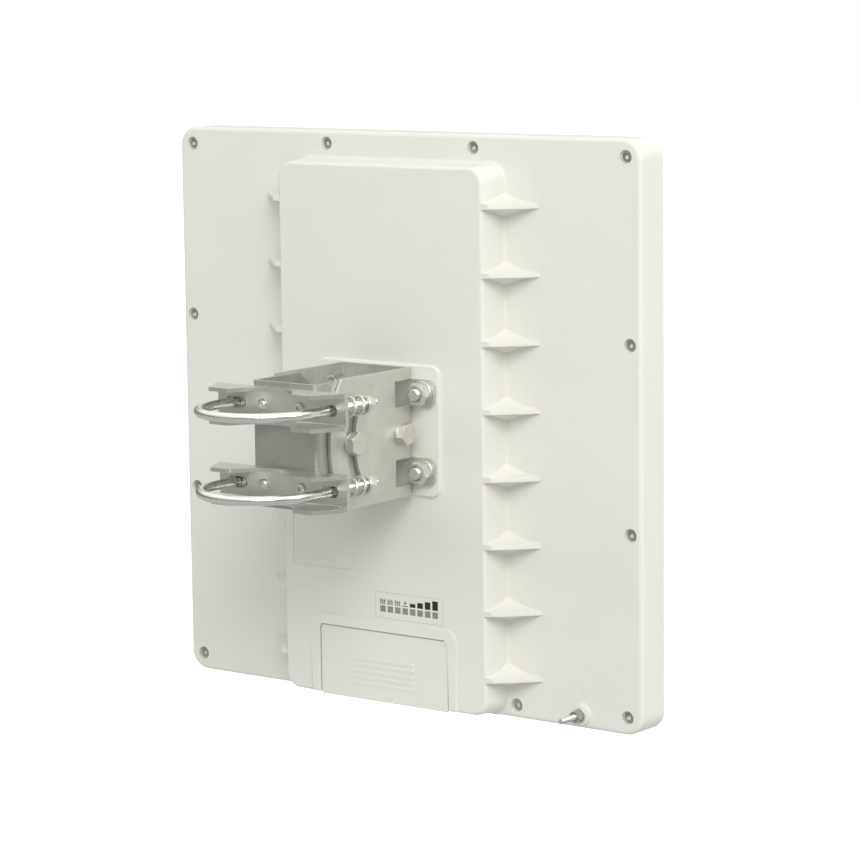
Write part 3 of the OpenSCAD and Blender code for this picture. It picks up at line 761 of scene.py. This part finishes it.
def ground_mark():
    """The raised earth symbol: a ring with a stem and three bars."""
    bm = bmesh.new()
    cx, cz, raised = GROUND_X, -158.6, 0.22
    profile = [(5.05, 0.0), (5.2, raised), (5.5, raised), (5.65, 0.0), (5.65, -0.3), (5.05, -0.3)]
    rows = [[bm.verts.new(p) for p in circle_at(cx, BACK_Y - h, cz, r, 64)] for r, h in profile]
    bridge(bm, rows + rows[:1])
    stem = (-0.3, 0.3, -0.7, 3.6)
    bars = [(-3 + i, 3 - i, -1.0 - 1.3 * i, -0.5 - 1.3 * i) for i in range(3)]
    for x0, x1, z0, z1 in [stem] + bars:
        merge(bm, box_bm((cx + x0, BACK_Y - raised, cz + z0), (cx + x1, BACK_Y + 0.3, cz + z1), 0.08))
    return bm


piece("ground_mark", ground_mark(), "antenna", PAINT, ("rear_housing",))


# ---------------------------------------------------------------- radome

def radome():
    """The front cover: a shallow lid with a rounded rim and a faintly raised middle."""
    bm = bmesh.new()
    lid = ((-1.5, 2.7), (0.0, 2.7), (0.02, 0.3), (0.3, 0))
    step = ((-0.58, 7.5), (-0.5, 8.0), (-0.08, 8.6), (0, 9.2))
    rings = [panel_ring(SEAM_Y + depth, inset) for depth, inset in lid]
    rings += fillet_rings(FRONT_Y - 0.6, -1, 2.4, panel_ring, 7)
    rings += [panel_ring(FRONT_Y + depth, inset) for depth, inset in step]
    loft(bm, rings)
    return bm


piece("radome_cover", radome(), "antenna", RADOME, ("radome",))

# ---------------------------------------------------------------- door


def door():
    """The sliding cable door with its five raised grip ribs."""
    lo, hi = span("cable_door")
    bm = bmesh.new()
    sunk, side, corner = 0.35, 0.3, 1.6
    face = lo.y + sunk
    prism(bm, rounded_loop(lo.x - side, hi.x + side, lo.z, hi.z - side, corner, 4), face, hi.y)
    bevel(bm, 0.6, 3, edges=face_edges(bm, face))
    rib_half, rib_rise, rib_top, rib_pitch, proud = 24.5, 0.95, -153.3, 4.1, 0.4
    for i in range(5):
        z = rib_top - rib_pitch * i
        rib = bmesh.new()
        outline = rounded_loop(-rib_half, rib_half, z - rib_rise, z + rib_rise, 0.9, 6)
        prism(rib, outline, face - proud, face + 0.3)
        bevel(rib, 0.38, 4, edges=face_edges(rib, face - proud))
        merge(bm, rib)
    return bm


piece("door", door(), "door", DOOR, ("cable_door",))


# ---------------------------------------------------------------- status label

def label_marks():
    """Printed marks: a thin frame, eight windows, three plain block marks, and rising bars with a dot."""
    lo, hi = span("led_label")
    y = lo.y
    frame_bm, windows, blocks, bars = (bmesh.new() for _ in range(4))
    line, half, pitch, first = 0.32, 2.2, 6.03, 0.2
    window_foot, window_top, bar_foot = -120.3, -116.2, -115.1
    bar_heights = (2.4, 3.6, 4.8, 6.0)

    def mark(bm, x0, x1, z0, z1, lift=0.05):
        merge(bm, box_bm((x0, y - lift, z0), (x1, y + 0.02, z1)))
    for x0, x1, z0, z1 in ((lo.x, hi.x, lo.z, lo.z + line), (lo.x, hi.x, hi.z - line, hi.z),
                           (lo.x, lo.x + line, lo.z + line, hi.z - line),
                           (hi.x - line, hi.x, lo.z + line, hi.z - line)):
        mark(frame_bm, x0, x1, z0, z1, 0.03)
    for i in range(8):
        x = first + pitch * i
        mark(windows, x - half, x + half, window_foot, window_top)
        if i >= 4:
            mark(bars, x - half, x + half, bar_foot, bar_foot + bar_heights[i - 4])
        elif i < 3:
            for k in range(3):
                left = x - half + 1.55 * k
                dip = 0.5 * ((k + i) % 2)
                mark(blocks, left, left + 0.6, bar_foot, -111.9)
                mark(blocks, left + 0.6, left + 1.2, -113.3 - dip, -112.5 - dip)
                mark(blocks, left + 0.6 * (k % 2), left + 1.2, bar_foot, -114.5)
    x = first + pitch * 3
    mark(bars, x - 2.1, x + 2.1, bar_foot, -114.6)
    merge(windows, revolve([(0, 1.0), (0.05, 1.0)], (x, y, -112.8), (0, -1, 0), 20))
    return frame_bm, windows, blocks, bars


def label():
    lo, hi = span("led_label")
    bm = bmesh.new()
    prism(bm, rounded_loop(lo.x, hi.x, lo.z, hi.z, 0.6, 4), lo.y, hi.y + 0.05)
    return bm


piece("label_sheet", label(), "antenna", LABEL, ("led_label", "light_pipes"))
LABEL_PIECES = (("label_frame", INK_LINE, "label_film", "led_label"),
                ("label_windows", INK_GREY, "light_pipe", "light_pipes"),
                ("label_names", INK_DARK, "label_film", "led_label"),
                ("label_bars", INK_BLACK, "label_film", "led_label"))
for (mark_name, mark_ink, mark_slot, mark_node), mark_bm in zip(LABEL_PIECES, label_marks()):
    piece(mark_name, mark_bm, "antenna", mark_ink, (mark_node,), weld=0)

# ---------------------------------------------------------------- housing screws


def housing_screws():
    """Socket-head screws at the bottom of their wells."""
    bm = bmesh.new()
    profile = ((3.5, 0.0), (3.5, 2.1), (3.36, 2.5), (3.0, 2.74), (2.1, 2.8))
    for i, (x, z) in enumerate(SCREWS):
        head = socket_head(profile, 1.45, ((1.08, 2.8), (1, 2.65), (1, 1.2)))
        merge(bm, head, place(x, BACK_Y + WELL_DEPTH, z, (0, -1, 0), 17 * i))
    return bm


piece("housing_screw_heads", housing_screws(), "antenna", DARK_ZINC, ("housing_screws",))

# ---------------------------------------------------------------- ground terminal


BOSS_TOP = BACK_Y - 3.0
GROUND_WASHER = 1.0


def ground_stud():
    lo, hi = span("ground_stud")
    return threaded_y(GROUND_X, GROUND_Z, lo.y, hi.y, (1.95, 1.6, 0.7), 24, 6, chamfer=0.5)


def ground_nut():
    bm = bmesh.new()
    seat = place(GROUND_X, BOSS_TOP - GROUND_WASHER, GROUND_Z, (0, -1, 0), 12)
    merge(bm, hex_solid(7, 5.4, 2.0, both=True), seat)
    return bm


def ground_washer():
    bm = bmesh.new()
    merge(bm, washer(2.1, 4.5, GROUND_WASHER, 0.15), place(GROUND_X, BOSS_TOP, GROUND_Z, (0, -1, 0)))
    return bm


piece("ground_thread", ground_stud(), "antenna", ZINC, ("ground_stud",), sharp=60)
piece("ground_hex", ground_nut(), "antenna", DARK_ZINC, ("ground_nut",))
piece("ground_ring", ground_washer(), "antenna", ZINC, ("ground_washer",))

# ---------------------------------------------------------------- bracket fasteners

STUDS = [(x * 38.1, z * LEVEL) for x in SIDES for z in SIDES]
STUD_ENDS = (112.0, 129.5)
WEB_Y = 122.4


def studs():
    bm = bmesh.new()
    for x, z in STUDS:
        merge(bm, threaded_y(x, z, *STUD_ENDS, M8_THREAD, 32, 8))
    return bm


def stud_nuts():
    bm = bmesh.new()
    for i, (x, z) in enumerate(STUDS):
        seat = place(x, WEB_Y - M8_WASHER, z, (0, -1, 0), 15 + 7 * (i % 2))
        merge(bm, hex_solid(*M8_NUT, both=True), seat)
    return bm


def stud_washers():
    bm = bmesh.new()
    for x, z in STUDS:
        merge(bm, washer(M8_BORE, 8.0, M8_WASHER), place(x, WEB_Y, z, (0, -1, 0)))
    return bm


piece("stud_threads", studs(), "antenna", ZINC, ("mounting_studs",), sharp=60)
piece("stud_hexes", stud_nuts(), "antenna", ZINC, ("stud_nuts",))
piece("stud_rings", stud_washers(), "antenna", ZINC, ("stud_washers",))


CHEEK_X = 28.55


def cross_set(node, head_turn):
    """A through bolt with its two washers and its nut, for the tilt axis or the lock."""
    lo, hi = span(node + "_bolt")
    y, z = (lo.y + hi.y) / 2, (lo.z + hi.z) / 2
    seat = CHEEK_X + M8_WASHER
    across = M8_NUT[0]
    bolt = bmesh.new()
    merge(bolt, hex_solid(across, hi.x - seat, steps=10), place(seat, y, z, (1, 0, 0), head_turn))
    shank = threaded_y(0, 0, 0, seat - lo.x + 0.5, M8_THREAD, 32, 8, smooth_from=14)
    merge(bolt, shank, Matrix.Translation((lo.x, y, z)) @ Matrix.Rotation(math.radians(-90), 4, "Z"))
    piece(node + "_bolt_finished", bolt, "mast_side", ZINC, (node + "_bolt",), sharp=40)
    nut = bmesh.new()
    merge(nut, hex_solid(*M8_NUT, both=True), place(-seat, y, z, (-1, 0, 0), 11))
    piece(node + "_nut_finished", nut, "mast_side", ZINC, (node + "_nut",))
    rings = bmesh.new()
    for side in SIDES:
        merge(rings, washer(M8_BORE, 6.9, M8_WASHER), place(side * CHEEK_X, y, z, (side, 0, 0)))
    piece(node + "_washers_finished", rings, "mast_side", ZINC, (node + "_washers",))


cross_set("pivot", 12)
cross_set("lock", 30)

# ---------------------------------------------------------------- sheet metal

softened("antenna_bracket", "antenna", GALVANISED)
softened("mast_bracket", "mast_side", SHADED_MAST_SHEET)


def saddle(node):
    """A saddle with its corners beside the pole's cut rounded off, and all its edges broken."""
    bm = cad_bm(node)
    lip = min(v.co.y for v in bm.verts)
    corners = []
    for e in bm.edges:
        a, b = (v.co for v in e.verts)
        upright = abs(a.z - b.z) > 1 and (a - b).to_2d().length < 0.01
        if upright and a.y < lip + 0.5 and abs(a.x) < 30:
            corners.append(e)
    bevel(bm, 5.0, 5, edges=corners)
    bevel(bm, 0.5, 3, SHARP_CORNER)
    piece(node + "_finished", bm, "mast_side", SATIN, (node,))


saddle("upper_saddle")
saddle("lower_saddle")

SADDLE_SCREWS = [(x * 15, z * LEVEL) for x in SIDES for z in SIDES]
SADDLE_WEB = (28.65, 33.65)


def saddle_screws():
    """Low round-head screws with a hex socket, and their shanks."""
    bm = bmesh.new()
    profile = ((3.6, 0), (3.55, 0.5), (3.3, 1.2), (2.8, 1.8), (2.2, 2.1), (1.75, 2.2))
    length = 9.2
    for i, (x, z) in enumerate(SADDLE_SCREWS):
        head = socket_head(profile, 1.25, ((1.06, 2.2), (1, 2.1), (1, 0.9)))
        merge(bm, head, place(x, SADDLE_WEB[0], z, (0, -1, 0), 23 * i))
        shank = threaded_y(0, 0, 0, length, (1.97, 1.65, 0.7), 20, 6, chamfer=0.5)
        tail = Matrix.Translation((x, SADDLE_WEB[0] + length, z))
        merge(bm, shank, tail @ Matrix.Rotation(math.pi, 4, "Z"))
    return bm


def saddle_nuts():
    bm = bmesh.new()
    for i, (x, z) in enumerate(SADDLE_SCREWS):
        merge(bm, hex_solid(7, 3.2, 2.0, both=True), place(x, SADDLE_WEB[1], z, (0, 1, 0), 19 * i))
    return bm


piece("saddle_screws_finished", saddle_screws(), "mast_side", ZINC, ("saddle_screws",),
      sharp=40)
piece("saddle_nuts_finished", saddle_nuts(), "mast_side", ZINC, ("saddle_nuts",))

# ---------------------------------------------------------------- U-bolts, springs and leg hardware

BEND_R, BEND_Y, LEG_END, ROD_R = 38.3, 9.6, 73.0, 3.0

# Depths of the washers behind the saddles, of the springs' feet on them, and of the leg nuts' faces
LEG_WASHER_Y, SPRING_FOOT, LEG_NUT_Y = 31.15, 32.75, 62.6


def u_bolt(z):
    """A bent rod with rolled threads and chamfered ends on both legs."""
    thread, pitch, rows = 37.0, 1.0, 6
    fine, plain, bend = int(thread / pitch * rows), 6, 72
    thread_foot = LEG_END - thread
    along = [thread * i / fine for i in range(fine + 1)]
    points = [Vector((BEND_R, LEG_END - s, z)) for s in along]
    points += [Vector((BEND_R, thread_foot + (BEND_Y - thread_foot) * i / plain, z)) for i in range(1, plain)]
    tangents = [Vector((0, -1, 0))] * len(points)
    marks = along + [None] * (plain - 1)
    leg = len(points)
    for i in range(bend + 1):
        a = math.pi * i / bend
        points.append(Vector((BEND_R * math.cos(a), BEND_Y - BEND_R * math.sin(a), z)))
        tangents.append(Vector((-math.sin(a), -math.cos(a), 0)))
        marks.append(None)
    points += [Vector((-p.x, p.y, z)) for p in reversed(points[:leg])]
    tangents += [Vector((0, 1, 0))] * leg
    marks += reversed(marks[:leg])

    def radius(i, share):
        s = marks[i]
        if s is None:
            return ROD_R
        top = min(ROD_R, ROD_R - 0.8 + s)
        fade = min(1.0, (thread - s) / 3.0)
        ridge = thread_height(s / pitch + share)
        return min(top, ROD_R - 0.42 * fade * (1 - ridge))
    return tube(points, tangents, Vector((0, 0, 1)), radius, 32)


def spring(bm, x, z, hand):
    """A compression spring with closed, flattened end turns."""
    wire, coil, rise, closed = 0.9, 5.6, 0.9, 0.45
    start, end = SPRING_FOOT + wire, LEG_NUT_Y - wire
    turns, steps, sides = 4.1, 40, 12
    count = int(turns * steps)

    def height(t):
        if t < closed:
            return start + rise * t
        if t > turns - closed:
            return end - rise * (turns - t)
        low, high = start + rise * closed, end - rise * closed
        return low + (high - low) * (t - closed) / (turns - 2 * closed)
    points = []
    for i in range(count + 1):
        t = turns * i / count
        a = 2 * math.pi * t * hand
        points.append(Vector((x + coil * math.cos(a), height(t), z + coil * math.sin(a))))
    rings = []
    for i, p in enumerate(points):
        t = (points[min(i + 1, count)] - points[max(i - 1, 0)]).normalized()
        outward = Vector((p.x - x, 0, p.z - z)).normalized()
        n = (outward - t * outward.dot(t)).normalized()
        b = t.cross(n)
        taper = min(1.0, 0.55 + 0.45 * min(i, count - i) / 6)
        rings.append([p + (n * math.cos(q) + b * math.sin(q)) * wire * taper for q in circle_angles(sides)])
    loft(bm, rings)


def leg_nuts(z):
    """Two nuts with the round collars of their locking inserts."""
    bm = bmesh.new()
    collar = [(4.6, 4.7), (6.6, 4.5), (7.3, 4.1), (7.5, 3.4), (7.3, 3.05), (4.6, 3.05)]
    for side in SIDES:
        merge(bm, hex_solid(10, 5, 3.0, both=True), place(side * BEND_R, LEG_NUT_Y, z, (0, 1, 0), 30))
        merge(bm, ring_solid(collar), place(side * BEND_R, LEG_NUT_Y, z, (0, 1, 0)))
    return bm


def springs(z):
    bm = bmesh.new()
    for side in SIDES:
        spring(bm, side * BEND_R, z, side)
    return bm


def leg_washers():
    bm = bmesh.new()
    for side in SIDES:
        for z in (-LEVEL, LEVEL):
            merge(bm, washer(3.3, 7.0, 1.6), place(side * BEND_R, LEG_WASHER_Y, z, (0, 1, 0)))
    return bm


for half, level in (("upper", LEVEL), ("lower", -LEVEL)):
    clamp = half + "_clamp"
    piece(half + "_u_bolt_finished", u_bolt(level), clamp, ROD, (half + "_u_bolt",), sharp=60)
    piece(half + "_leg_nuts_finished", leg_nuts(level), clamp, ZINC, (half + "_leg_nuts",))
    spring_piece = piece(half + "_springs_finished", springs(level), "mast_side", WIRE,
                         (half + "_springs",), sharp=60)
    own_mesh(spring_piece)
piece("leg_washers_finished", leg_washers(), "mast_side", DARK_ZINC, ("leg_washers",))

# ---------------------------------------------------------------- carried-over CAD nodes

CARRIED = {
    "housing_gasket": RUBBER, "cable_grommet": RUBBER, "thermal_pad": FOAM, "reflector_plate": SHEET_AL,
    "heat_spreader": SHEET_AL, "rf_shield": TIN, "ethernet_jack": TIN, "array_board": BOARD,
    "radio_board": BOARD, "array_patches": COPPER, "feed_pins": COPPER, "array_spacers": NYLON,
    "array_screws": ZINC, "board_screws": ZINC, "status_leds": RESIN,
}
for node_name, node_material in CARRIED.items():
    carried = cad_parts[node_name]
    carried.data.materials.clear()
    carried.data.materials.append(node_material)

# ---------------------------------------------------------------- studio

# Height in the sky, from 0 straight down to 1 straight up, and how bright it is there: what lights
# the surfaces, and what they mirror
HEMISPHERE = [(0.0, 0.68), (0.44, 0.68), (0.50, 0.08), (0.60, 0.08), (0.64, 1.22), (0.78, 1.22), (0.84, 0.62),
              (1.0, 0.60)]
REFLECTED = [(0.0, 0.44), (0.42, 0.48), (0.50, 0.15), (0.60, 0.20), (0.70, 0.95), (1.0, 1.2)]
SKY = 1.06
WARMTH = 0.985
PANEL_CENTRE = Vector((0, 0.12, 0))


def area(name, location, size, power):
    """A rectangular lamp that faces the panel."""
    data = bpy.data.lights.new(name, "AREA")
    data.shape = "RECTANGLE"
    data.size, data.size_y = size
    data.energy = power
    light = bpy.data.objects.new(name, data)
    light.location = location
    light.rotation_euler = (PANEL_CENTRE - Vector(location)).to_track_quat("-Z", "Y").to_euler()
    bpy.context.scene.collection.objects.link(light)


def add_floor():
    """A plain pale floor, which the object's own surfaces neither mirror nor are lit by."""
    mesh = bpy.data.meshes.new("floor")
    size, level = 16.0, -0.62
    corners = [(-size, -size, level), (size, -size, level), (size, size, level), (-size, size, level)]
    mesh.from_pydata(corners, [], [(0, 1, 2, 3)])
    floor = bpy.data.objects.new("floor", mesh)
    bpy.context.scene.collection.objects.link(floor)
    paper = Nodes("floor_paper", (0.93, 0.93, 0.925), 0.9, specular=0.1)
    paper.bump(paper.noise(700, 2), 0.1, 0.0001)
    paper.shader.inputs["Emission Color"].default_value = (1, 1, 1, 1)
    paper.shader.inputs["Emission Strength"].default_value = 0.6
    mesh.materials.append(paper.mat)
    floor.visible_diffuse = False
    floor.visible_glossy = False
    floor.visible_shadow = False


def add_sky():
    """White behind the object, with a soft grey dome that lights it and another that it mirrors."""
    world = bpy.data.worlds.new("studio")
    bpy.context.scene.world = world
    world.use_nodes = True
    tree = world.node_tree
    nodes, link = tree.nodes, tree.links.new
    sky = nodes["Background"]
    sky.inputs["Strength"].default_value = SKY
    coord = nodes.new("ShaderNodeTexCoord")
    split = nodes.new("ShaderNodeSeparateXYZ")
    spread = nodes.new("ShaderNodeMapRange")
    spread.inputs["From Min"].default_value = -1.0
    link(coord.outputs["Generated"], split.inputs[0])
    link(split.outputs["Z"], spread.inputs["Value"])
    path = nodes.new("ShaderNodeLightPath")
    choice = nodes.new("ShaderNodeMix")
    choice.data_type = "RGBA"
    colours = [socket for socket in choice.inputs if socket.type == "RGBA"]
    for levels, target in zip((HEMISPHERE, REFLECTED), colours):
        ramp = nodes.new("ShaderNodeValToRGB")
        stops = ramp.color_ramp.elements
        while len(stops) < len(levels):
            stops.new(0.5)
        for stop, (position, grey) in zip(stops, levels):
            stop.position = position
            stop.color = (grey, grey, grey * WARMTH, 1)
        link(spread.outputs["Result"], ramp.inputs["Fac"])
        link(ramp.outputs["Color"], target)
    link(path.outputs["Is Glossy Ray"], choice.inputs["Factor"])
    mixed = next(socket for socket in choice.outputs if socket.type == "RGBA")
    link(mixed, sky.inputs["Color"])
    backdrop = nodes.new("ShaderNodeBackground")
    backdrop.inputs["Color"].default_value = (1, 1, 1, 1)
    mix = nodes.new("ShaderNodeMixShader")
    link(path.outputs["Is Camera Ray"], mix.inputs[0])
    link(sky.outputs[0], mix.inputs[1])
    link(backdrop.outputs[0], mix.inputs[2])
    link(mix.outputs[0], nodes["World Output"].inputs["Surface"])


add_floor()
add_sky()
area("key", (1.6, -1.65, 1.75), (1.4, 1.4), 41)
area("rim", (2.4, 0.5, 1.3), (1.0, 1.4), 15)
bpy.context.scene.view_settings.view_transform = "Standard"
